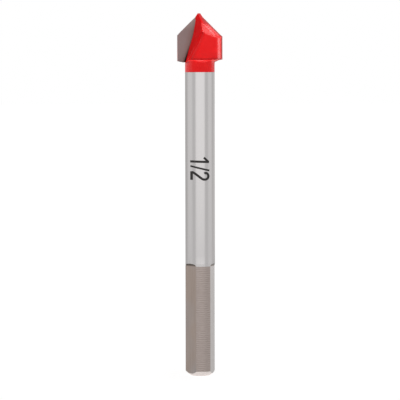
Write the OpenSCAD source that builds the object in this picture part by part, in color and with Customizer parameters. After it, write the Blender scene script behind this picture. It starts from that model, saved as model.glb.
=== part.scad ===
// Glass and tile drill bit: a turned steel shank with three drive flats and a brazed carbide spear point.
// Millimetres. +Z runs along the axis from the shank end to the point.
// The origin is the centre of the shank's end face and the front is -Y.

/* [Overall] */
// length of the shank up to the flat seat that carries the head
shank_len = 88; // [55:0.1:135]
// length of the head from its seat to the point
head_len = 13.6; // [12:0.1:18]
// diameter that the head cuts
head_d = 12.7; // [11:0.1:16]
// diameter of the round shank
shank_d = 8.33; // [7:0.01:10]

/* [Drive end] */
// length of the three drive flats up to their run-out
flat_len = 30.85; // [15:0.05:40]
// depth of each flat below the round shank
flat_depth = 0.585; // [0.2:0.005:1.2]
// direction in which the first flat faces, from +X
flat_turn = -17.1; // [-60:0.1:60]
// radius of the scoop in which each flat runs out
runout_r = 0.8; // [0.6:0.05:4]
// height of the domed chamfer at the shank end
end_cham_h = 1.35; // [0.6:0.05:2.5]
// width of the domed chamfer at the shank end
end_cham_w = 1.45; // [0.8:0.05:2.5]

/* [Point] */
// full angle of the point seen from the front
point_angle = 90; // [70:1:140]
// drop of the narrow relief land per millimetre behind the cutting edge
land_fall = 1.08; // [0.4:0.02:1.6]
// depth of that land at the axis
land_depth = 1.32; // [0.6:0.02:1.6]
// drop of the long bevel per millimetre behind the land
bevel_fall = 3.76; // [2:0.02:5]
// turn of the small bevel beside the point, from the front
point_bevel_turn = 23.4; // [5:0.1:45]
// lean of the small bevel beside the point
point_bevel_lean = 26.5; // [5:0.1:45]
// depth at which the small bevel meets the axis just under the point
point_bevel_depth = 0.62; // [0.3:0.01:0.9]

/* [Wings] */
// depth of the broad face in front of the axis
face_depth = 2.3; // [1.5:0.05:4]
// fall of the broad face towards the outer side, per millimetre
face_fall = 0.25; // [0:0.01:0.4]
// distance in from the cutting diameter at which the side relief starts
side_w = 1.55; // [1:0.05:2.5]
// turn of the side relief from the front
side_turn = 31.2; // [10:0.1:60]
// distance in from the cutting diameter at which the narrow side land starts
side_land_w = 0.39; // [0.1:0.01:0.8]
// turn of the narrow side land from the front
side_land_turn = 67.5; // [67:0.5:80]
// rise of the underside of each wing outside the shank
underside_rise = 0.45; // [0:0.05:2]

/* [Gash] */
// lean of each cutting face, as depth per millimetre below the point
rake_lean = 0.08; // [0:0.005:0.2]
// sideways reach of the upper gash wall from the axis, near the point
upper_x = -1; // [-2:0.05:-0.3]
// distance below the point at which that reach is taken
upper_down = 0.8; // [0.2:0.05:3]
// turn of the upper gash wall from the front
upper_turn = 34; // [10:0.5:60]
// lean of the upper gash wall
upper_lean = 8.5; // [0:0.5:30]
// sideways reach of the middle gash wall from the axis
middle_x = -2.5; // [-4:0.05:-1]
// distance below the point at which that reach is taken
middle_down = 8.2; // [5:0.1:12]
// turn of the middle gash wall from the front
middle_turn = 34.3; // [10:0.1:60]
// lean of the middle gash wall
middle_lean = 13.6; // [0:0.1:30]
// sideways place at which the lower gash wall meets the broad face
lower_x = 0.8; // [-1:0.05:2]
// distance below the point of that place
lower_down = 5.4; // [3:0.1:10]
// turn of the lower gash wall from the front
lower_turn = 64.1; // [30:0.1:80]
// lean of the lower gash wall
lower_lean = 26.7; // [0:0.1:45]
// width of the undercut in the corner of the gash, at its foot
undercut_w = 0.45; // [0.1:0.05:1]
// depth of that undercut behind the cutting face
undercut_depth = 0.55; // [0.1:0.05:1]
// height of that undercut above the seat
undercut_h = 4.2; // [1:0.1:8]
// slant of that undercut, sideways per millimetre of height
undercut_slant = 0.31; // [0.1:0.01:0.5]

/* [Joint] */
// height of the round foot of the head above the seat
foot_h = 0.72; // [0.2:0.02:1.5]
// step in from the shank to the round foot
foot_step = 0.2; // [0.16:0.01:0.5]
// fall of the ledge in front of the broad face, per millimetre
ledge_fall = 0.38; // [0.1:0.02:0.8]
// steel left beside the tang on each side
tang_wall = 1.065; // [0.8:0.005:2]
// thickness of the tang
tang_t = 2.6; // [1:0.1:4]
// length of the tang
tang_len = 2.8; // [1:0.1:6]
// gap for the braze around the tang
braze_gap = 0.05; // [0:0.01:0.2]

/* [Hidden] */
total_len = shank_len + head_len;
shank_r = shank_d / 2;
head_r = head_d / 2;
flat_apothem = shank_r - flat_depth;
side_x = head_r - side_w;
side_land_x = head_r - side_land_w;
tang_w = shank_d - 2 * tang_wall;
end_r = shank_r - end_cham_w;
// the domed chamfer is part of a ball on the axis
dome_z = (shank_r * shank_r + end_cham_h * end_cham_h - end_r * end_r) / (2 * end_cham_h);
dome_r = norm([end_r, dome_z]);
lip_fall = 1 / tan(point_angle / 2);
// half size of the blocks that cut away what lies beyond a plane
big = head_d * 3;
// overrun of a cut past the face that it opens
over = 1;

// everything beyond the plane through p that faces along n
module beyond(p, n) {
  translate(p)
    rotate([0, acos(n[2] / norm(n)), atan2(n[1], n[0])])
      translate([-big, -big, 0])
        cube([2 * big, 2 * big, big]);
}

// direction that is turned sideways from the front and leans up; positive turns go to +X
function facing(turn, lean) = [cos(lean) * sin(turn), -cos(lean) * cos(turn), sin(lean)];

// one drive flat with its scooped run-out, facing +X
module drive_flat_cut() {
  translate([flat_apothem, -shank_r - over, -over])
    cube([shank_r, shank_d + 2 * over, flat_len + over]);
  translate([flat_apothem + runout_r, 0, flat_len])
    rotate([90, 0, 0])
      cylinder(r = runout_r, h = shank_d + 2 * over, center = true, $fn = 96);
}

module shank() {
  color([0.74, 0.74, 0.73])
    difference() {
      union() {
        translate([0, 0, end_cham_h])
          cylinder(r = shank_r, h = shank_len - end_cham_h, $fn = 180);
        intersection() {
          cylinder(r = shank_r + over, h = end_cham_h, $fn = 180);
          translate([0, 0, dome_z])
            sphere(r = dome_r, $fn = 180);
        }
      }
      for (i = [0:2])
        rotate([0, 0, flat_turn + 120 * i])
          drive_flat_cut();
      translate([-tang_w / 2 - braze_gap, -tang_t / 2 - braze_gap, shank_len - tang_len - braze_gap])
        cube([tang_w + 2 * braze_gap, tang_t + 2 * braze_gap, tang_len + over]);
    }
}

// the ground surfaces behind one cutting edge
module relief_cuts() {
  tip = [0, 0, total_len];
  lip = lip_fall + rake_lean * land_fall;
  bevel = lip_fall + rake_lean * bevel_fall;
  // narrow land along the cutting edge
  beyond(tip, [lip, -land_fall, 1]);
  // long bevel behind the land
  beyond([0, -land_depth, total_len - land_fall * land_depth], [bevel, -bevel_fall, 1]);
  // small bevel beside the point
  beyond([0, -point_bevel_depth, total_len - land_fall * point_bevel_depth],
    facing(point_bevel_turn, point_bevel_lean));
  // broad face
  beyond([0, -face_depth, shank_len], [face_fall, -1, 0]);
  // relief along the outer side
  beyond([side_x, -face_depth + face_fall * side_x, shank_len], facing(side_turn, 0));
  // narrow land along the outer side
  side_y = -face_depth + face_fall * side_x + (side_land_x - side_x) * tan(side_turn);
  beyond([side_land_x, side_y, shank_len], facing(side_land_turn, 0));
}

// the gash in front of one cutting face
module gash_cut() {
  intersection() {
    beyond([0, 0, total_len], [0, -1, rake_lean]);
    beyond([upper_x, -rake_lean * upper_down, total_len - upper_down], facing(-upper_turn, upper_lean));
    beyond([middle_x, -rake_lean * middle_down, total_len - middle_down],
      facing(-middle_turn, middle_lean));
    beyond([lower_x, -face_depth + face_fall * lower_x, total_len - lower_down],
      facing(-lower_turn, lower_lean));
  }
}

// the narrow undercut in the corner of one gash
module undercut_cut() {
  foot_x = -shank_r;
  face_y = -rake_lean * head_len;
  translate([0, face_y + undercut_depth, shank_len])
    rotate([90, 0, 0])
      linear_extrude(height = undercut_depth + undercut_w)
        polygon([
          [foot_x - undercut_w / 2, -over],
          [foot_x + undercut_w / 2, -over],
          [foot_x + undercut_w / 2, 0],
          [foot_x + undercut_h * undercut_slant, undercut_h],
          [foot_x - undercut_w / 2, 0]
        ]);
}

// the round foot on which the head stands, with its two sloped ledges
module foot() {
  difference() {
    translate([0, 0, shank_len])
      cylinder(r = shank_r - foot_step, h = foot_h, $fn = 180);
    for (a = [0, 180])
      rotate([0, 0, a]) {
        beyond([0, -face_depth, shank_len + foot_h], [face_fall * ledge_fall, -ledge_fall, 1]);
        gash_cut();
      }
  }
}

module carbide_tip() {
  color([0.83, 0.09, 0.09])
    difference() {
      union() {
        difference() {
          translate([0, 0, shank_len])
            cylinder(r = head_r, h = head_len + over, $fn = 180);
          for (a = [0, 180])
            rotate([0, 0, a]) {
              relief_cuts();
              gash_cut();
              // underside of the wing outside the shank
              beyond([shank_r, 0, shank_len], [underside_rise, 0, shank_r - head_r]);
            }
        }
        foot();
        translate([-tang_w / 2, -tang_t / 2, shank_len - tang_len])
          cube([tang_w, tang_t, tang_len + foot_h]);
      }
      for (a = [0, 180])
        rotate([0, 0, a])
          undercut_cut();
    }
}

shank();
carbide_tip();
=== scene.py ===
import math

import bmesh
import bpy
import numpy as np
from mathutils import Matrix, Vector
from mathutils.geometry import delaunay_2d_cdt


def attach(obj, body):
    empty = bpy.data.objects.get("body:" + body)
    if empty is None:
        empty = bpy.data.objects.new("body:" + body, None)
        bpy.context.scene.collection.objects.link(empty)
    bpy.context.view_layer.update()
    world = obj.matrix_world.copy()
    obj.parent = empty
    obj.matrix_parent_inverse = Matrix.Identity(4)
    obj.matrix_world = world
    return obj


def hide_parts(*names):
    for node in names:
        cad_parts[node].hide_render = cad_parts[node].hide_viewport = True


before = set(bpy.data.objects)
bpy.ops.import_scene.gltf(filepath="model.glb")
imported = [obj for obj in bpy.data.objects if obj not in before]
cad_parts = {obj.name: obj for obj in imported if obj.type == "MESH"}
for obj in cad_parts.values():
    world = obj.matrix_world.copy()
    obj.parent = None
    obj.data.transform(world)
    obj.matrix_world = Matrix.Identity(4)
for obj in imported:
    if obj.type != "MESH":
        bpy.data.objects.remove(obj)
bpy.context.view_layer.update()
scene = bpy.context.scene
scene.view_settings.view_transform = "Standard"

MM = 0.001

# sizes of the bit in millimetres, as in the solids
SHANK_R = 4.165
SHANK_LEN = 88.0
TOTAL_LEN = 101.6
FLAT_LEN = 30.85
FLAT_APOTHEM = 3.58
FLAT_TURN = -17.1
RUNOUT_R = 0.8
CHAM_H = 1.35
END_R = 2.715
DOME_Z = (SHANK_R**2 + CHAM_H**2 - END_R**2) / (2 * CHAM_H)
DOME_R = math.hypot(END_R, DOME_Z)

# the bare steel, and the paint film that covers its upper end up to the bead
STEEL_R = 4.15
PAINT_R = 4.165
PAINT_Z = 85.15
BEAD_Z = 88.60


# helpers for materials

def srgb(r, g, b):
    """Linear colour of an 8 bit screen colour."""
    def linear(c):
        return c / 12.92 if c <= 0.04045 else ((c + 0.055) / 1.055) ** 2.4

    return (linear(r / 255), linear(g / 255), linear(b / 255), 1.0)


class Nodes:
    """A material's node tree with short ways to add and join nodes."""

    def __init__(self, name):
        self.mat = bpy.data.materials.new(name)
        self.mat.use_nodes = True
        self.tree = self.mat.node_tree
        self.bsdf = self.tree.nodes["Principled BSDF"]

    def add(self, kind, **values):
        n = self.tree.nodes.new(kind)
        for k, v in values.items():
            if k in n.inputs:
                n.inputs[k].default_value = v
            else:
                setattr(n, k, v)
        return n

    def join(self, a, b):
        self.tree.links.new(a, b)

    def set(self, **values):
        """Even values on the shader's own sockets."""
        for k, v in values.items():
            self.bsdf.inputs[k.replace("_", " ")].default_value = v

    def colour(self, out):
        self.join(out, self.bsdf.inputs["Base Color"])

    def rough(self, out):
        self.join(out, self.bsdf.inputs["Roughness"])

    def bump(self, height, strength, distance):
        b = self.add("ShaderNodeBump", Strength=strength, Distance=distance)
        self.join(height, b.inputs["Height"])
        self.join(b.outputs["Normal"], self.bsdf.inputs["Normal"])

    def coords(self, scale=(1, 1, 1)):
        """Object coordinates stretched by scale, in metres."""
        c = self.add("ShaderNodeTexCoord")
        m = self.add("ShaderNodeMapping")
        m.inputs["Scale"].default_value = scale
        self.join(c.outputs["Object"], m.inputs["Vector"])
        return m.outputs["Vector"]

    def noise(self, scale, detail=3.0, stretch=(1, 1, 1)):
        n = self.add("ShaderNodeTexNoise", Scale=scale, Detail=detail)
        self.join(self.coords(stretch), n.inputs["Vector"])
        return n.outputs["Fac"]

    def ramp(self, fac, stops):
        r = self.add("ShaderNodeValToRGB")
        while len(r.color_ramp.elements) < len(stops):
            r.color_ramp.elements.new(0.5)
        for e, (at, colour) in zip(r.color_ramp.elements, stops):
            e.position = at
            e.color = colour
        self.join(fac, r.inputs["Fac"])
        return r.outputs["Color"]

    def tone(self, fac, dark, light, lo=0.3, hi=0.7):
        """Screen colours from dark to light as fac goes from lo to hi."""
        return self.ramp(fac, [(lo, srgb(*dark)), (hi, srgb(*light))])

    def span(self, fac, lo, hi, from_lo=0.3, from_hi=0.7):
        """fac mapped from its usual range to lo..hi."""
        m = self.add("ShaderNodeMapRange")
        m.inputs["From Min"].default_value = from_lo
        m.inputs["From Max"].default_value = from_hi
        m.inputs["To Min"].default_value = lo
        m.inputs["To Max"].default_value = hi
        self.join(fac, m.inputs["Value"])
        return m.outputs["Result"]

    def combine(self, operation, a, b):
        m = self.add("ShaderNodeMath", operation=operation)
        self.join(a, m.inputs[0])
        self.join(b, m.inputs[1])
        return m.outputs[0]

    def mix(self, fac, a, b):
        m = self.add("ShaderNodeMix", data_type="RGBA")
        self.join(fac, m.inputs["Factor"])
        self.join(a, m.inputs["A"])
        self.join(b, m.inputs["B"])
        return m.outputs["Result"]

    def folded(self):
        """Object coordinates with one wing turned half round onto the other."""
        c = self.add("ShaderNodeTexCoord")
        s = self.add("ShaderNodeSeparateXYZ")
        self.join(c.outputs["Object"], s.inputs[0])
        side = self.add("ShaderNodeMath", operation="SIGN")
        self.join(s.outputs["X"], side.inputs[0])
        out = self.add("ShaderNodeCombineXYZ")
        for axis in ("X", "Y"):
            self.join(self.combine("MULTIPLY", s.outputs[axis], side.outputs[0]), out.inputs[axis])
        self.join(s.outputs["Z"], out.inputs["Z"])
        return out.outputs[0]

    def along(self, direction):
        """Distance along a direction in the folded coordinates, in metres."""
        d = self.add("ShaderNodeVectorMath", operation="DOT_PRODUCT")
        self.join(self.folded(), d.inputs[0])
        d.inputs[1].default_value = direction
        return d.outputs["Value"]


# paint

UP = (0, 0, 1)
PAINT_SPECULAR = 0.17
# strength and depth in metres of the paint's orange peel
PEEL = 0.012
PEEL_DEPTH = 0.00003
# range of roughness and strength of the peel on the collar
COLLAR_GLOSS = (0.24, 0.30, 0.008)
# ranges in metres, sideways and up, over which a painted highlight comes in on the collar's fillet
HIGHLIGHT_X = (0.0030, 0.0045)
HIGHLIGHT_Z = (0.0876, 0.0883)
# heights in metres over which the painted shade at the foot of the head and the painted shade above it
# fade
SEAM_SHADE_Z = (0.08885, 0.0892)
SHADE_Z = (0.0892, 0.0912)
# heights in metres over which the worn paint gives way to the coat that is left on the tip
TIP_Z = (0.0994, 0.1008)
# height in metres over which worn paint turns dull and a darker red, the darker red being painted shade
DULL_FADE = 0.0009
# roughness of the paint beside its wear, and where it is worn or dull
KEPT_ROUGH = 0.17
WORN_ROUGH = 0.5


def paint_colour(m):
    return m.tone(m.noise(420, 3), (219, 20, 22), (227, 25, 26))


def painted_highlight_colour(m):
    """Pale colour of the paint that stands for a painted highlight."""
    return m.tone(m.noise(900, 3), (226, 112, 106), (236, 124, 118))


def paint_film(m, smooth=0.22, rough=0.26, peel=PEEL):
    """Gloss and faint orange peel of the sprayed paint."""
    m.set(Specular_IOR_Level=PAINT_SPECULAR)
    m.rough(m.span(m.noise(900, 2), smooth, rough))
    m.bump(m.noise(1900, 2), peel, PEEL_DEPTH)


def red_paint():
    """The paint of the collar, with a painted highlight in the fillet on its right."""
    m = Nodes("red_paint")
    paint_film(m, *COLLAR_GLOSS)
    place = m.add("ShaderNodeSeparateXYZ")
    m.join(m.coords(), place.inputs[0])
    # painted highlight: pale colour in the fillet, to the right and high up
    right = m.span(place.outputs["X"], 0.0, 1.0, *HIGHLIGHT_X)
    high = m.span(place.outputs["Z"], 0.0, 1.0, *HIGHLIGHT_Z)
    m.colour(m.mix(m.combine("MULTIPLY", right, high), paint_colour(m), painted_highlight_colour(m)))
    return m.mat


def painted_highlight_paint():
    """Pale paint under the wings, a painted highlight."""
    m = Nodes("painted_highlight_paint")
    paint_film(m, *COLLAR_GLOSS)
    m.colour(painted_highlight_colour(m))
    return m.mat


def head_paint():
    """The same paint on the head, darkened at its foot and just above it as painted shade."""
    m = Nodes("head_paint")
    paint_film(m)
    # painted shade: darker red where the head meets the bead, fading upwards
    seam_shade = m.tone(m.noise(900, 3), (128, 12, 14), (150, 16, 18))
    high = m.along(UP)
    foot = m.combine("ADD", m.span(high, 0.45, 0.0, *SEAM_SHADE_Z), m.span(high, 0.29, 0.0, *SHADE_Z))
    m.colour(m.mix(foot, paint_colour(m), seam_shade))
    return m.mat


def shaded_paint():
    """A duller, darker red in the gashes and beside the point, painted shade on these faces."""
    m = Nodes("shaded_paint")
    m.set(Specular_IOR_Level=0.05)
    m.colour(m.tone(m.noise(420, 3), (214, 18, 20), (222, 22, 24)))
    m.rough(m.span(m.noise(900, 2), 0.24, 0.32))
    m.bump(m.noise(1900, 2), 0.05, PEEL_DEPTH)
    return m.mat


def worn_and_shaded_paint(name, across, start, end, dull_from):
    """Paint that grinding has worn to bare carbide, from start to end along the direction across.
    It is dull where it is worn and above dull_from, where its colour also darkens as painted shade, and
    the tip keeps its paint."""
    m = Nodes(name)
    m.set(Specular_IOR_Level=PAINT_SPECULAR)
    m.bump(m.noise(1900, 2), PEEL, PEEL_DEPTH)
    bare = m.tone(m.noise(1500, 3), (146, 56, 52), (160, 66, 62))
    tip_shade = m.tone(m.noise(420, 3), (176, 20, 21), (186, 24, 25))
    edge = m.along(across)
    high = m.along(UP)
    dull_z = (dull_from, dull_from + DULL_FADE)
    # above dull_from the paint turns a darker red: painted shade
    coat = m.mix(m.span(high, 0.0, 1.0, *dull_z), paint_colour(m), tip_shade)
    wear = m.combine("MULTIPLY", m.span(edge, 0.0, 1.0, start, end), m.span(high, 1.0, 0.0, *TIP_Z))
    m.colour(m.mix(wear, coat, bare))
    worn = m.span(edge, KEPT_ROUGH, WORN_ROUGH, start, end)
    dull = m.span(high, KEPT_ROUGH, WORN_ROUGH, *dull_z)
    m.rough(m.combine("MAXIMUM", worn, dull))
    return m.mat


# carbide and steel

# depth in metres of grinding and turning lines, and of the finer lines on the satin shank
LINE_DEPTH = 0.00002
SATIN_DEPTH = 0.00001
STEEL_TINT = (0.62, 0.61, 0.60, 1)
BROWNED = ((141, 128, 120), (150, 137, 129))
# pitch in metres of the rings that turning left on the lands
RING_PITCH = 0.58 * MM
# the wave texture takes 20 radians for each unit of its scale
RING_SCALE = 2 * math.pi / (20 * RING_PITCH)


def ground_carbide():
    """Bare cutting face, lighter at the top as painted light, darker and redder towards the gash wall as
    painted shade with red reflected light, and near black in its corner as painted shade.
    """
    m = Nodes("ground_carbide")
    m.set(Metallic=0.3, Specular_IOR_Level=0.3)
    grain = m.noise(260, 3, (1.0, 1.0, 0.25))
    clean = m.tone(grain, (124, 103, 101), (134, 113, 111))
    # painted light: the face turns lighter towards the top
    pale = m.tone(grain, (146, 127, 123), (154, 136, 132))
    wall_shade = m.tone(grain, (112, 78, 73), (124, 92, 87))
    corner_shade = m.tone(grain, (52, 26, 24), (74, 42, 39))
    # the gash wall and its corner are slanted lines across the face, along which the colour is darkened
    # as painted shade
    wall = m.span(m.along((1.0, 0.0, 0.245)), 0.85, 0.0, 0.02548, 0.0272)
    corner_shade_mask = m.span(m.along((1.0, 0.0, 0.364)), 0.9, 0.0, 0.03640, 0.03690)
    high = m.span(m.along(UP), 0.0, 0.9, 0.0968, 0.1002)
    face = m.mix(high, m.mix(wall, clean, wall_shade), pale)
    m.colour(m.mix(corner_shade_mask, face, corner_shade))
    lines = m.noise(5200, 2, (1.0, 1.0, 0.04))
    m.rough(m.span(lines, 0.42, 0.56))
    m.bump(lines, 0.10, LINE_DEPTH)
    return m.mat


def groove_shade():
    """The undercut in the corner of each gash, near black as painted shade."""
    m = Nodes("groove_shade")
    m.set(Specular_IOR_Level=0.1)
    m.colour(m.tone(m.noise(1800, 3), (22, 7, 6), (44, 13, 11)))
    m.rough(m.span(m.noise(2600, 2), 0.6, 0.8))
    return m.mat


def satin_steel():
    """The bright round shank, with fine lines round it."""
    m = Nodes("satin_steel")
    m.set(Metallic=1.0, Specular_Tint=STEEL_TINT)
    patches = m.noise(90, 3, (1.0, 1.0, 0.3))
    m.colour(m.ramp(patches, [(0.3, (0.430, 0.416, 0.414, 1)), (0.7, (0.450, 0.436, 0.434, 1))]))
    fine = m.noise(4200, 2, (0.25, 0.25, 1.0))
    m.rough(m.span(fine, 0.20, 0.24))
    m.bump(fine, 0.012, SATIN_DEPTH)
    return m.mat


def turned_land():
    """The dull round lands between the flats, with patches of turning rings."""
    m = Nodes("turned_land")
    m.set(Metallic=1.0, Specular_Tint=STEEL_TINT)
    rings = m.add("ShaderNodeTexWave", bands_direction="Z", Scale=RING_SCALE)
    rings.inputs["Distortion"].default_value = 0.9
    rings.inputs["Detail"].default_value = 2.0
    rings.inputs["Detail Scale"].default_value = 0.8
    m.join(m.coords(), rings.inputs["Vector"])
    patches = m.span(m.noise(800, 2), 0.0, 1.0, 0.42, 0.58)
    even = m.tone(m.noise(700, 3), (146, 135, 130), (153, 142, 137))
    ringed = m.tone(rings.outputs["Fac"], (140, 129, 124), (158, 147, 142), 0.1, 0.9)
    m.colour(m.mix(patches, even, ringed))
    lines = m.noise(2800, 2, (0.02, 0.02, 1.0))
    m.rough(m.span(lines, 0.36, 0.46))
    m.bump(lines, 0.12, LINE_DEPTH)
    return m.mat


def flat_lines(m):
    """Grinding lines along a drive flat, with their gloss and relief."""
    m.set(Metallic=1.0)
    lines = m.noise(3600, 2, (1.0, 1.0, 0.03))
    m.rough(m.span(m.noise(900, 3), 0.30, 0.38))
    m.bump(lines, 0.05, LINE_DEPTH)
    return lines


def reflecting_flat():
    """The flat that is lighter and greyer, a painted reflection of the white background; the other two
    are browned.
    """
    m = Nodes("reflecting_flat")
    m.colour(m.tone(flat_lines(m), (162, 157, 155), (172, 167, 165)))
    return m.mat


def ground_flat():
    """A browned flat with greyer patches."""
    m = Nodes("ground_flat")
    lines = flat_lines(m)
    grey = m.tone(lines, (139, 131, 128), (149, 141, 138))
    patches = m.span(m.noise(55, 2), 0.0, 1.0, 0.42, 0.58)
    m.colour(m.mix(patches, m.tone(lines, *BROWNED), grey))
    return m.mat


def runout_shade():
    """The scooped end of a flat, darker above the place where it starts to curve, a painted dark
    reflection.
    """
    m = Nodes("runout_shade")
    m.set(Metallic=1.0)
    lines = m.noise(4200, 2, (1.0, 1.0, 0.1))
    dark = m.tone(lines, (84, 76, 70), (94, 86, 80))
    # painted dark reflection along the top of the scoop
    scoop = m.span(m.along(UP), 0.0, 1.0, 0.0308, 0.0312)
    m.colour(m.mix(scoop, m.tone(lines, *BROWNED), dark))
    m.rough(m.span(lines, 0.34, 0.44))
    m.bump(lines, 0.05, LINE_DEPTH)
    return m.mat


def lit_chamfer():
    """The turned chamfer at the end of the shank, its colour raised as painted light."""
    m = Nodes("lit_chamfer")
    m.set(Metallic=1.0)
    lines = m.noise(5200, 2, (0.02, 0.02, 1.0))
    m.colour(m.tone(lines, (206, 198, 195), (218, 210, 207)))
    m.rough(m.span(lines, 0.22, 0.32))
    m.bump(lines, 0.08, LINE_DEPTH)
    return m.mat


def etched_mark():
    """The dark size mark on the shank."""
    m = Nodes("etched_mark")
    m.set(Metallic=0.2, Specular_IOR_Level=0.3)
    m.colour(m.tone(m.noise(2400, 3), (40, 38, 38), (58, 55, 54)))
    m.rough(m.span(m.noise(3600, 2), 0.5, 0.7))
    return m.mat


PAINT = red_paint()
HEAD_PAINT = head_paint()
PAINTED_HIGHLIGHT = painted_highlight_paint()
SHADED_PAINT = shaded_paint()
# direction across the land beside the cutting edge, and the distance of the tip along it
LIP_ACROSS = (0.386, 0.805, 0.450)
LIP_TIP = 0.450 * TOTAL_LEN * MM
WORN_SHADED_LIP = worn_and_shaded_paint("worn_shaded_lip", LIP_ACROSS, LIP_TIP - 0.0010, LIP_TIP - 0.0004, 0.0980)
WORN_SIDE = worn_and_shaded_paint("worn_side", (1, 0, 0), 0.0057, 0.0061, 0.1)
CARBIDE = ground_carbide()
GROOVE_SHADE = groove_shade()


# helpers for meshes

def new_piece(name, bm, materials):
    """A smooth mesh object in the bit's frame."""
    mesh = bpy.data.meshes.new(name)
    bm.to_mesh(mesh)
    bm.free()
    for m in materials:
        mesh.materials.append(m)
    mesh.shade_smooth()
    obj = bpy.data.objects.new(name, mesh)
    scene.collection.objects.link(obj)
    return obj


def ease(v, lo, hi):
    """0 up to lo, 1 from hi, smooth between."""
    t = min(max((v - lo) / (hi - lo), 0), 1)
    return t * t * (3 - 2 * t)


# shank

# columns on each flat and each land, and rows on the domed end and in each scoop
N_FLAT, N_LAND, N_DOME, N_SCOOP = 20, 48, 6, 12
# heights in millimetres of the other rows: on the flats, on the round body,
# and at the top, which is hidden in the paint
FLAT_ROWS = (4.0, 17.0, FLAT_LEN)
BODY_ROWS = (34.0, 50.0, 68.0, PAINT_Z + 0.1)
HIDDEN_Z = 87.9
HIDDEN_R = STEEL_R - 0.1
# places of the shank's materials in its list
BODY, LAND, FLAT, CHAMFER, RUNOUT, REFLECTING_FLAT = range(6)
# angle in degrees from which an edge of the shank is shaded sharp
SHARP_ANGLE = 18
# width in millimetres of the shank's broken edges, and the angle in degrees that makes an edge one
BREAK_WIDTH = 0.045
BREAK_ANGLE = 24


def dome(z):
    """Radius of the domed end at a height."""
    return math.sqrt(DOME_R**2 - (DOME_Z - z) ** 2)


def shank_piece():
    """The turned shank as a grid of columns round the axis, with three flats, their scooped run-outs
    and the domed end."""
    half0 = math.acos(FLAT_APOTHEM / STEEL_R)
    columns = []
    for i in range(3):
        mid = math.radians(FLAT_TURN + 120 * i)
        columns += [("flat", mid, -1 + 2 * j / N_FLAT) for j in range(N_FLAT)]
        columns += [("land", mid, j / N_LAND) for j in range(N_LAND)]

    def place(col, half, apothem):
        """Angle and radius of a column where the flats are cut to that apothem."""
        kind, mid, u = col
        if kind == "flat":
            t = u * apothem * math.tan(half)
            return mid + math.atan2(t, apothem), math.hypot(apothem, t)
        return mid + half + u * (math.radians(120) - 2 * half), STEEL_R

    rows = []
    # flat end and domed chamfer, up to where each column meets its flat or the round
    foot = []
    for col in columns:
        a, r = place(col, half0, FLAT_APOTHEM)
        foot.append((a, r, DOME_Z - math.sqrt(max(DOME_R**2 - r * r, 0))))
    for k in range(N_DOME):
        rows.append([(a, dome(z * k / N_DOME), z * k / N_DOME) for a, r, z in foot])
    rows.append(foot)
    for z in FLAT_ROWS:
        rows.append([(a, r, z) for a, r, _ in foot])
    land_top = len(rows) - 1
    for k in range(1, N_SCOOP + 1):
        half = half0 * (1 - k / N_SCOOP)
        ap = STEEL_R * math.cos(half)
        z = FLAT_LEN + math.sqrt(RUNOUT_R**2 - (RUNOUT_R - (ap - FLAT_APOTHEM)) ** 2)
        rows.append([(*place(col, half, ap), z) for col in columns])
    flat_top = len(rows) - 1
    angles = [a for a, _, _ in rows[-1]]
    for z in BODY_ROWS:
        rows.append([(a, STEEL_R, z) for a in angles])
    rows.append([(a, HIDDEN_R, HIDDEN_Z) for a in angles])

    # the flat at FLAT_TURN takes the lighter grey, a painted reflection
    clean = math.radians(FLAT_TURN)
    bm = bmesh.new()
    grid = []
    for row in rows:
        at = [(r * math.cos(a) * MM, r * math.sin(a) * MM, z * MM) for a, r, z in row]
        grid.append([bm.verts.new(q) for q in at])
    for k, (low, high) in enumerate(zip(grid, grid[1:])):
        for j, (kind, mid, _) in enumerate(columns):
            flat = kind == "flat"
            if flat and k >= flat_top:
                continue
            after = (j + 1) % len(columns)
            f = bm.faces.new((low[j], low[after], high[after], high[j]))
            if k < N_DOME:
                f.material_index = CHAMFER
            elif flat and k >= land_top:
                f.material_index = RUNOUT
            elif flat:
                f.material_index = REFLECTING_FLAT if mid == clean else FLAT
            elif k < land_top:
                f.material_index = LAND
    bm.faces.new(grid[0][::-1]).material_index = CHAMFER
    bm.faces.new(grid[-1]).material_index = BODY
    bmesh.ops.remove_doubles(bm, verts=bm.verts, dist=1e-7)
    bmesh.ops.dissolve_degenerate(bm, edges=bm.edges, dist=1e-8)
    for e in bm.edges:
        if len(e.link_faces) == 2 and e.calc_face_angle(0) > math.radians(SHARP_ANGLE):
            e.smooth = False
    bm.normal_update()
    materials = [satin_steel(), turned_land(), ground_flat()]
    materials += [lit_chamfer(), runout_shade(), reflecting_flat()]
    obj = new_piece("shank_steel", bm, materials)
    bev = obj.modifiers.new("edges", "BEVEL")
    bev.width = BREAK_WIDTH * MM
    bev.segments = 2
    bev.limit_method = "ANGLE"
    bev.angle_limit = math.radians(BREAK_ANGLE)
    obj.modifiers.new("normals", "WEIGHTED_NORMAL").keep_sharp = True
    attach(obj, "root")
    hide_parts("shank")
    return obj


# head

# directions that the ground surfaces of one wing face; the other wing has them turned half round
HEAD_FACES = {
    "rake": (0, -0.997, 0.080),
    "land": (0.594, -0.590, 0.547),
    "bevel": (0.317, -0.917, 0.244),
    "point": (0.355, -0.821, 0.446),
    "broad": (0.243, -0.970, 0),
    "side": (0.518, -0.855, 0),
    "side_land": (0.924, -0.383, 0),
    "upper": (-0.553, -0.820, 0.148),
    "middle": (-0.548, -0.803, 0.235),
    "lower": (-0.804, -0.390, 0.449),
    "under": (0.202, 0, -0.979),
    "ledge": (0.088, -0.354, 0.931),
    "groove_root": (-0.969, 0, 0.248),
    "groove_wing": (0.940, 0, -0.342),
}

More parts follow.
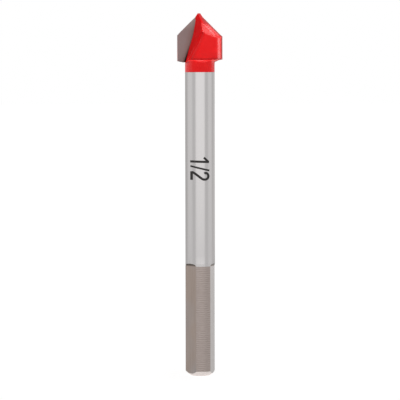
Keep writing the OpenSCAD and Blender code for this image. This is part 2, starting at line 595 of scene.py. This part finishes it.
# finish of the surfaces that don't have the plain paint
HEAD_FINISH = {
    "rake": CARBIDE,
    "groove_root": GROOVE_SHADE,
    # the undercut takes a near-black colour, painted shade
    "groove_wing": GROOVE_SHADE,
    "groove_floor": GROOVE_SHADE,
    "land": WORN_SHADED_LIP,
    # the gash walls and the point take a darker red, painted shade
    "upper": SHADED_PAINT,
    "middle": SHADED_PAINT,
    "lower": SHADED_PAINT,
    "point": SHADED_PAINT,
    "side_land": WORN_SIDE,
    # the underside takes pale paint, a painted highlight
    "under": PAINTED_HIGHLIGHT,
}

# width in millimetres over which the paint rounds the edge between two faces; other edges stay crisp
ROUNDING = {
    ("bevel", "broad"): 0.24,
    ("bevel", "land"): 0.75,
    ("bevel", "point"): 0.25,
    ("bevel", "upper"): 0.20,
    ("broad", "lower"): 1.4,
    ("broad", "side"): 0.60,
    ("broad", "upper"): 0.40,
    ("land", "point"): 0.20,
    ("lower", "middle"): 0.50,
    ("lower", "upper"): 0.50,
    ("middle", "upper"): 0.50,
    ("point", "upper"): 0.22,
    ("side", "side_land"): 0.20,
}
# share of the weaker pulls where several rounded edges meet
CORNER_SHARE = 0.35

# side of the head's triangles in millimetres, height of one as a share of its side,
# and the gap that the grid keeps to the edges of a face, as a share of the side
HEAD_STEP = 0.14
ROW_SHARE = 0.866
GAP_SHARE = 0.55

# shift of the ground point off the axis, and the heights and reaches over which it fades
POINT_SHIFT = 0.23
SHIFT_Z = (94.3, 96.0)
SHIFT_X = (4.0, 5.5)
# line of the gash wall, which stays: its reach at a height, its slope, the half width that it holds
# and the heights over which it lets go
WALL_X = 1.05
WALL_Z = 99.7
WALL_SLOPE = 0.245
WALL_HOLD = 0.7
WALL_END_Z = (99.8, 100.7)

# how far the underside of the left wing is lowered and that of the right wing is raised,
# behind and at its front, and the heights over which this fades
LEFT_DROP = 0.22
BEHIND_LIFT = 0.25
FRONT_LIFT = 0.60
FOOT_Z = (88.1, 90.3)
# reaches over which each of the three sets in
LEFT_X = (3.9, 4.7)
BEHIND_X = (4.3, 5.4)
FRONT_X = (3.3, 4.2)
# reaches over which the front loses part of its lift again, that part, and where it ends front to back
END_X = (4.8, 6.2)
END_LOSS = 0.7
FRONT_Y = (-1.2, 0.7)

# largest difference between directions that count as the same
SAME_WAY = 0.02
# reaches between which the floor of an undercut lies
GROOVE_X = (3, 4.5)


def head_face(f):
    """Name of the ground surface that a face of the head belongs to, or None."""
    n = f.normal
    for name, (x, y, z) in HEAD_FACES.items():
        for way in (Vector((x, y, z)), Vector((-x, -y, z))):
            if (n - way).length < SAME_WAY:
                return name
    if abs(n.y) > 0.999 and GROOVE_X[0] < abs(f.calc_center_median().x) < GROOVE_X[1]:
        return "groove_floor"
    return None


def head_solid():
    """The head's solid without its tang, with one face for each ground surface, in millimetres."""
    bm = bmesh.new()
    bm.from_mesh(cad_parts["carbide_tip"].data)
    bmesh.ops.scale(bm, vec=(1 / MM,) * 3, verts=bm.verts)
    bmesh.ops.remove_doubles(bm, verts=bm.verts, dist=0.002)
    low = [f for f in bm.faces if f.calc_center_median().z < SHANK_LEN - 0.05]
    bmesh.ops.delete(bm, geom=low, context="FACES")
    bmesh.ops.delete(bm, geom=[v for v in bm.verts if not v.link_faces], context="VERTS")
    bmesh.ops.holes_fill(bm, edges=[e for e in bm.edges if e.is_boundary], sides=0)
    bmesh.ops.dissolve_limit(bm, angle_limit=math.radians(0.4), verts=bm.verts, edges=bm.edges)
    bm.normal_update()
    return bm


def to_segments(pts, a, b):
    """Distance of each point from the nearest of the segments a to b."""
    ab = b - a
    ap = pts[:, None] - a[None]
    t = np.clip((ap * ab).sum(2) / (ab * ab).sum(1), 0, 1)
    return np.linalg.norm(ap - t[..., None] * ab, axis=2).min(1)


def inside(pts, loop):
    """Which points lie inside a closed loop in the plane."""
    hit = np.zeros(len(pts), bool)
    for (x0, y0), (x1, y1) in zip(loop, np.roll(loop, -1, 0)):
        if y0 != y1:
            cross = x0 + (pts[:, 1] - y0) * (x1 - x0) / (y1 - y0)
            hit ^= ((y0 > pts[:, 1]) != (y1 > pts[:, 1])) & (pts[:, 0] < cross)
    return hit


def off_centre(co):
    """How far the off-centre grinding moves a place on the head. The line of the gash wall stays."""
    high = ease(co.z, *SHIFT_Z)
    near = 1 - ease(abs(co.x), *SHIFT_X)
    wall = -(WALL_X + (WALL_Z - co.z) * WALL_SLOPE)
    stay = max(0, 1 - abs(co.x - wall) / WALL_HOLD) * (1 - ease(co.z, *WALL_END_Z))
    side = math.copysign(1, co.x)
    return Vector((-POINT_SHIFT * near * high * (1 - stay), 0, -POINT_SHIFT * (1 - near) * side * high))


def uneven_foot(co):
    """How far the underside of a wing stands off at a place on the head."""
    low = 1 - ease(co.z, *FOOT_Z)
    if co.x < 0:
        return Vector((0, 0, -LEFT_DROP * ease(-co.x, *LEFT_X) * low))
    behind = BEHIND_LIFT * ease(co.x, *BEHIND_X)
    root = ease(co.x, *FRONT_X)
    end = 1 - END_LOSS * ease(co.x, *END_X)
    front = FRONT_LIFT * root * end * (1 - ease(co.y, *FRONT_Y))
    return Vector((0, 0, (behind + front) * low))


def split_edges(solid, names):
    """Even points along every edge of the solid and the faces that each one lies on, then the line
    of points on each edge, the edges that the paint rounds, and the pairs of points on crisp edges."""
    points = [v.co.copy() for v in solid.verts]
    faces_at = [set(v.link_faces) for v in solid.verts]
    solid.verts.index_update()
    lines, rounded, crisp = {}, {}, set()
    for e in solid.edges:
        a, b = e.verts
        m = max(1, round(e.calc_length() / HEAD_STEP))
        line = [a.index]
        for k in range(1, m):
            line.append(len(points))
            points.append(a.co.lerp(b.co, k / m))
            faces_at.append(set(e.link_faces))
        line.append(b.index)
        lines[e] = line
        pair = tuple(sorted(names[f] for f in e.link_faces))
        if pair in ROUNDING:
            out = sum((f.normal for f in e.link_faces), Vector()).normalized()
            angle = e.calc_face_angle_signed()
            rounded[e] = (ROUNDING[pair], math.tan(abs(angle) / 2), math.copysign(1, angle) * out)
        elif pair != ("round", "round"):
            crisp |= {tuple(sorted(q)) for q in zip(line, line[1:])}
    return points, faces_at, lines, rounded, crisp


def fill_face(f, ring, points, faces_at):
    """Triangles over one face, from its ring of edge points and an even grid of new points inside."""
    o = f.verts[0].co
    u = (f.verts[1].co - o).normalized()
    v = f.normal.cross(u)
    flat = np.array([((points[i] - o).dot(u), (points[i] - o).dot(v)) for i in ring])
    lo, hi = flat.min(0), flat.max(0)
    xs = np.arange(lo[0], hi[0], HEAD_STEP)
    ys = np.arange(lo[1], hi[1], HEAD_STEP * ROW_SHARE)
    grid = np.array([(x + (k % 2) * HEAD_STEP / 2, y) for k, y in enumerate(ys) for x in xs])
    grid = grid[inside(grid, flat)]
    if len(grid):
        grid = grid[to_segments(grid, flat, np.roll(flat, -1, 0)) > HEAD_STEP * GAP_SHARE]
    ids = list(ring)
    for x, y in grid:
        ids.append(len(points))
        points.append(o + u * x + v * y)
        faces_at.append({f})
    both = [Vector(q) for q in flat] + [Vector(q) for q in grid]
    _, _, triangles, source, _, _ = delaunay_2d_cdt(both, [], [list(range(len(ring)))], 1, 1e-6)
    return [[ids[source[i][0]] for i in t] for t in triangles]


def round_off(co, faces, rounded):
    """How far the paint moves a place on those faces to round the edges near it."""
    pulls = [Vector()]
    for e in {e for f in faces for e in f.edges if e in rounded}:
        width, slope, out = rounded[e]
        a, b = (q.co for q in e.verts)
        t = min(max((co - a).dot(b - a) / (b - a).length_squared, 0), 1)
        d = (co - a.lerp(b, t)).length
        if d < width:
            pulls.append(-out * ((width - d) ** 2 * slope / (2 * width)))
    # the strongest pull counts most
    pulls.sort(key=lambda q: q.length)
    return pulls[-1] + CORNER_SHARE * sum(pulls[:-1], Vector())


def head_piece():
    """The carbide head: an even mesh on every face of its solid, moved to round the painted edges."""
    solid = head_solid()
    names = {f: head_face(f) or "round" for f in solid.faces}
    points, faces_at, lines, rounded, crisp = split_edges(solid, names)
    triangles = []
    for f in solid.faces:
        ring = []
        for loop in f.loops:
            line = lines[loop.edge]
            ring += (line if line[0] == loop.vert.index else line[::-1])[:-1]
        triangles += [(ids, names[f]) for ids in fill_face(f, ring, points, faces_at)]

    bm = bmesh.new()
    verts = []
    for co, faces in zip(points, faces_at):
        move = round_off(co, faces, rounded)
        verts.append(bm.verts.new((co + move + off_centre(co) + uneven_foot(co)) * MM))
    materials = [HEAD_PAINT, *dict.fromkeys(HEAD_FINISH.values())]
    index = {name: materials.index(m) for name, m in HEAD_FINISH.items()}
    for ids, name in triangles:
        bm.faces.new([verts[i] for i in ids]).material_index = index.get(name, 0)
    for i, j in crisp:
        e = bm.edges.get((verts[i], verts[j]))
        if e:
            e.smooth = False
    bmesh.ops.delete(bm, geom=[v for v in bm.verts if not v.link_faces], context="VERTS")
    bm.normal_update()
    solid.free()
    obj = new_piece("carbide_head", bm, materials)
    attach(obj, "root")
    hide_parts("carbide_tip")
    return obj


# painted collar

COLLAR_COLUMNS = 240
# angle by which the wall of the collar leans in before it turns over
LEAN = math.radians(34.0)
# the fillet: height in millimetres from which it flares, the power of that, its top and its strength
FLARE_Z = 87.6
FLARE_POWER = 3.36
FILLET_Z = 88.80
FILLET_FLARE = 1.1
# radius in millimetres of the plain rim's lean and of its edge
RIM_LEAN = 0.10
RIM_EDGE = 0.06
# radius in millimetres of the bead's edge, of its lean, and what the lean gains at the front
BEAD_EDGE = 0.22
BEAD_LEAN = 0.50
BEAD_GAIN = 1.0
# turn in degrees where that gain is largest, and the turns to both sides over which it fades
GAIN_TURN = 8
GAIN_FADE = (6, 48)
# turns in degrees over which the bead and the fillet start and end
BEAD_START = (-66, -54)
BEAD_END = (76, 88)
FILLET_START = (68, 88)
FILLET_END = (96, 112)


def collar_profile(lean_r, top_r, top_z, flare):
    """Radius and height of the paint film from its lower lip to its hidden inner edge.
    The wall leans in by a large round and turns over a small one up to top_z. flare widens it upwards."""
    def wide(z):
        return PAINT_R + flare * max(0, z - FLARE_Z) ** FLARE_POWER

    lip = [
        (STEEL_R - 0.05, PAINT_Z + 0.02),
        (STEEL_R, PAINT_Z),
        (PAINT_R - 0.004, PAINT_Z + 0.012),
        (PAINT_R, PAINT_Z + 0.05),
    ]
    lean_z = top_z - top_r * (1 - math.sin(LEAN))
    foot_z = lean_z - lean_r * math.sin(LEAN)
    body = [(wide(z), z) for z in np.linspace(86.0, foot_z, 9)]
    r0 = wide(foot_z) - lean_r
    turns = np.linspace(0, LEAN, 9)[1:]
    wall = [(r0 + lean_r * math.cos(t), foot_z + lean_r * math.sin(t)) for t in turns]
    r1 = wall[-1][0] - top_r * math.cos(LEAN)
    turns = np.linspace(LEAN, math.pi / 2, 8)[1:]
    over = [(r1 + top_r * math.cos(t), top_z - top_r * (1 - math.sin(t))) for t in turns]
    return lip + body + wall + over + [(r1 - 0.5, top_z), (r1 - 1.2, top_z)]


def collar_piece():
    """The painted collar, with a bead over the foot of the head and a fillet under one wing."""
    plain = collar_profile(RIM_LEAN, RIM_EDGE, SHANK_LEN - 0.01, 0)
    fillet = collar_profile(RIM_LEAN, RIM_EDGE, FILLET_Z, FILLET_FLARE)
    bm = bmesh.new()
    columns = []
    for j in range(COLLAR_COLUMNS):
        deg = 360 * j / COLLAR_COLUMNS
        # turn from the front of the nearer wing, from -90 to 90
        turn = (deg + 90) % 180 - 90
        front = 1 - ease(abs(turn - GAIN_TURN), *GAIN_FADE)
        bead = collar_profile(BEAD_LEAN + BEAD_GAIN * front, BEAD_EDGE, BEAD_Z, 0)
        bead_share = ease(turn, *BEAD_START) * (1 - ease(turn, *BEAD_END))
        fillet_share = ease(deg, *FILLET_START) * (1 - ease(deg, *FILLET_END))
        angle = math.radians(deg)
        column = []
        for p, b, q in zip(plain, bead, fillet):
            r = p[0] + (b[0] - p[0]) * bead_share
            z = p[1] + (b[1] - p[1]) * bead_share
            r += (q[0] - r) * fillet_share
            z += (q[1] - z) * fillet_share
            column.append(bm.verts.new((r * math.sin(angle) * MM, -r * math.cos(angle) * MM, z * MM)))
        columns.append(column)
    for near, far in zip(columns, columns[1:] + columns[:1]):
        for i in range(len(plain) - 1):
            bm.faces.new((near[i], far[i], far[i + 1], near[i + 1]))
    bm.faces.new([c[-1] for c in columns])
    bm.faces.new([c[0] for c in columns][::-1])
    bm.normal_update()
    obj = new_piece("paint_collar", bm, [PAINT])
    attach(obj, "root")
    return obj


# size mark

# height of the mark above the steel, depth of its hidden underside
# and step along its strokes, in millimetres
MARK_LIFT = 0.004
MARK_DEPTH = 0.03
MARK_STEP = 0.1
# faces across a stroke
MARK_ACROSS = 8

# strokes of the fraction: width, extra height, and corners (sideways, up), all in millimetres
MARK_STROKES = [
    # stem and flag of the one
    (0.63, 0, [(-2.745, 60.30), (2.51, 60.13)]),
    (0.60, 0.0004, [(1.08, 61.38), (1.75, 60.72), (2.34, 60.16)]),
    # slash
    (0.50, 0.0002, [(-2.70, 59.02), (2.60, 57.74)]),
    # base, then diagonal and bowl of the two
    (0.74, 0, [(-2.374, 57.54), (-2.374, 55.13)]),
    (0.66, 0.0004, [
        (-2.31, 57.30), (-1.92, 57.20), (-1.27, 56.80), (-0.43, 56.17), (0.27, 55.64),
        (0.69, 55.37), (1.16, 55.24), (1.67, 55.28), (2.10, 55.55), (2.30, 56.00),
        (2.27, 56.45), (2.00, 56.88), (1.55, 57.07), (1.20, 56.88),
    ]),
]


def smooth_line(corners):
    """Even points on a smooth line through the corners."""
    at = [Vector(c) for c in corners]
    at = [at[0] * 2 - at[1]] + at + [at[-1] * 2 - at[-2]]
    out = []
    for p0, p1, p2, p3 in zip(at, at[1:], at[2:], at[3:]):
        m = max(2, int((p2 - p1).length / MARK_STEP))
        for k in range(m):
            t = k / m
            square = (2 * p0 - 5 * p1 + 4 * p2 - p3) * t * t
            cube = (3 * p1 - p0 - 3 * p2 + p3) * t**3
            out.append(0.5 * (2 * p1 + (p2 - p0) * t + square + cube))
    return [tuple(q) for q in out] + [corners[-1]]


def stroke(bm, points, width, lift):
    """A thin closed stroke of the mark along points (sideways, up), wrapped on the shank."""
    layers = []
    for r in (STEEL_R + MARK_LIFT + lift, STEEL_R - MARK_DEPTH):
        rows = []
        for i, (x, z) in enumerate(points):
            x0, z0 = points[max(i - 1, 0)]
            x1, z1 = points[min(i + 1, len(points) - 1)]
            d = math.hypot(x1 - x0, z1 - z0)
            nx, nz = -(z1 - z0) / d, (x1 - x0) / d
            row = []
            for k in range(MARK_ACROSS + 1):
                off = width * (k / MARK_ACROSS - 0.5)
                sx = x + nx * off
                sy = -math.sqrt(r * r - sx * sx)
                row.append(bm.verts.new((sx * MM, sy * MM, (z + nz * off) * MM)))
            rows.append(row)
        layers.append(rows)
    for rows, turned in zip(layers, (False, True)):
        for a, b in zip(rows, rows[1:]):
            for k in range(MARK_ACROSS):
                quad = (a[k], b[k], b[k + 1], a[k + 1])
                bm.faces.new(quad[::-1] if turned else quad)
    top, under = (
        [row[0] for row in rows] + rows[-1][1:] + [row[-1] for row in rows[-2::-1]] + rows[0][-2:0:-1]
        for rows in layers
    )
    for i in range(len(top)):
        wall = bm.faces.new((top[i], top[i - 1], under[i - 1], under[i]))
        for e in wall.edges:
            e.smooth = False


def mark_piece():
    """The size of the bit, a plain fraction that reads down the shank."""
    bm = bmesh.new()
    for width, lift, corners in MARK_STROKES:
        stroke(bm, smooth_line(corners), width, lift)
    bm.normal_update()
    obj = new_piece("size_mark", bm, [etched_mark()])
    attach(obj, "root")
    return obj


shank = shank_piece()
head = head_piece()
collar = collar_piece()
mark = mark_piece()


# camera

# place in metres, lens in millimetres, and how far the camera looks down and rolls, in degrees
CAMERA_PLACE = (-0.00003, -0.7, 0.085)
CAMERA_LENS = 224.74
CAMERA_DOWN = 2.9174
CAMERA_ROLL = -0.11

cam_data = bpy.data.cameras.new("camera")
cam_data.lens = CAMERA_LENS
cam_data.sensor_width = 36
cam_data.clip_start = 0.01
camera = bpy.data.objects.new("camera", cam_data)
camera.location = CAMERA_PLACE
pitch, roll = math.radians(90 - CAMERA_DOWN), math.radians(CAMERA_ROLL)
camera.rotation_euler = (Matrix.Rotation(pitch, 3, "X") @ Matrix.Rotation(roll, 3, "Z")).to_euler()
scene.collection.objects.link(camera)
scene.camera = camera


# floor, world and lamps

# radius of the floor, its drop below the bit in metres, and what it adds to its own light to look white
FLOOR_R = 6.0
FLOOR_DROP = 0.00002
FLOOR_GLOW = 0.71
# level of the soft light from all round, in units of the white background
FILL = 0.38


def seen_rays(tree):
    """1 for the rays that show the white background, 0 for those that only light the bit."""
    path = tree.nodes.new("ShaderNodeLightPath")
    seen = path.outputs["Is Camera Ray"]
    for kind in ("Is Glossy Ray", "Is Transmission Ray"):
        either = tree.nodes.new("ShaderNodeMath")
        either.operation = "MAXIMUM"
        tree.links.new(seen, either.inputs[0])
        tree.links.new(path.outputs[kind], either.inputs[1])
        seen = either.outputs[0]
    return seen


def floor_material():
    """A pale floor that looks white and keeps the bit's shadow."""
    m = Nodes("floor")
    m.tree.nodes.remove(m.bsdf)
    level = m.add("ShaderNodeMath", operation="MULTIPLY")
    level.inputs[1].default_value = FLOOR_GLOW
    m.join(seen_rays(m.tree), level.inputs[0])
    diffuse = m.add("ShaderNodeBsdfDiffuse", Color=(0.8, 0.8, 0.8, 1))
    glow = m.add("ShaderNodeEmission", Color=(1, 1, 1, 1))
    m.join(level.outputs[0], glow.inputs["Strength"])
    both = m.add("ShaderNodeAddShader")
    m.join(diffuse.outputs[0], both.inputs[0])
    m.join(glow.outputs[0], both.inputs[1])
    m.join(both.outputs[0], m.tree.nodes["Material Output"].inputs["Surface"])
    return m.mat


bm = bmesh.new()
bmesh.ops.create_circle(bm, cap_ends=True, radius=FLOOR_R, segments=64)
mesh = bpy.data.meshes.new("floor")
bm.to_mesh(mesh)
bm.free()
mesh.materials.append(floor_material())
floor = bpy.data.objects.new("floor", mesh)
floor.location.z = -FLOOR_DROP
scene.collection.objects.link(floor)

world = bpy.data.worlds.new("studio")
scene.world = world
world.use_nodes = True
sky = world.node_tree
sky.nodes.clear()
sky_mix = sky.nodes.new("ShaderNodeMixShader")
sky.links.new(seen_rays(sky), sky_mix.inputs["Fac"])
for place, level in ((1, FILL), (2, 1.0)):
    glow = sky.nodes.new("ShaderNodeBackground")
    glow.inputs["Color"].default_value = (1, 1, 1, 1)
    glow.inputs["Strength"].default_value = level
    sky.links.new(glow.outputs[0], sky_mix.inputs[place])
sky_out = sky.nodes.new("ShaderNodeOutputWorld")
sky.links.new(sky_mix.outputs[0], sky_out.inputs["Surface"])


def group(name, *pieces):
    """Pieces that a lamp is set for."""
    c = bpy.data.collections.new(name)
    for p in pieces:
        c.objects.link(p)
    return c


def lamp(name, turn, up, distance, width, height, level, lit, aim=(0, 0, 0.095)):
    """A soft box seen from the aim point at that turn to the right of the camera and that height angle,
    in degrees. Its distance and size are in metres and its level in units of the white background."""
    data = bpy.data.lights.new(name, "AREA")
    data.shape = "RECTANGLE"
    data.size = width
    data.size_y = height
    data.energy = level * width * height * math.pi
    obj = bpy.data.objects.new(name, data)
    t, e = math.radians(turn), math.radians(up)
    back = Vector((math.sin(t) * math.cos(e), -math.cos(t) * math.cos(e), math.sin(e)))
    obj.location = Vector(aim) + back * distance
    obj.rotation_euler = back.to_track_quat("Z", "Y").to_euler()
    obj.light_linking.receiver_collection = lit
    scene.collection.objects.link(obj)


PAINTED = group("painted", head, collar)
HEAD = group("head", head)
COLLAR = group("collar", collar)
STEEL = group("steel", shank, mark)
MID = (0, 0, 0.05)

# steel: a front box, two side boxes and one behind stand in the polished round as pale bands
lamp("front", 1.5, 3, 0.40, 0.58, 0.7, 0.60, STEEL, MID)
lamp("left", -86, 3, 0.45, 0.40, 0.7, 0.24, STEEL, MID)
lamp("right", 84, 3, 0.45, 0.31, 0.7, 0.24, STEEL, MID)
lamp("right_back", 146, 3, 0.45, 0.25, 0.7, 0.40, STEEL, MID)

# paint: for each wing a key, a glint on the bevel, a box for the land and a strip for the side,
# with two boxes above for the bead
for name, turn in (("near", 0), ("far", 180)):
    lamp("key_" + name, 41 + turn, 27, 0.6, 0.16, 0.16, 9.4, PAINTED)
    lamp("glint_" + name, 68 + turn, 38, 0.6, 0.26, 0.12, 17, HEAD)
    lamp("land_" + name, 106 + turn, 41, 0.6, 0.24, 0.12, 4, HEAD)
    lamp("strip_" + name, 60 + turn, 0, 0.6, 0.12, 0.16, 20, HEAD)
    lamp("top_" + name, turn, 60, 0.6, 0.36, 0.16, 11, COLLAR)
    lamp("upper_" + name, turn, 38, 0.6, 0.36, 0.16, 3, COLLAR)
# a box for the cutting face, and boxes for the rims and the sides of the collar and its bead
lamp("head_left", -52, -2, 0.7, 0.54, 0.5, 2.0, HEAD)
lamp("collar_left", -82, 8, 0.8, 0.5, 0.6, 1.6, COLLAR)
lamp("rim_left", -115, 2, 0.8, 0.5, 0.8, 0.9, COLLAR)
lamp("rim_right", 115, 2, 0.8, 0.5, 0.8, 0.8, COLLAR)
lamp("bead_left", -65, 55, 0.6, 0.5, 0.16, 2.5, COLLAR)
lamp("bead_right", 65, 55, 0.6, 0.5, 0.16, 2.5, COLLAR)
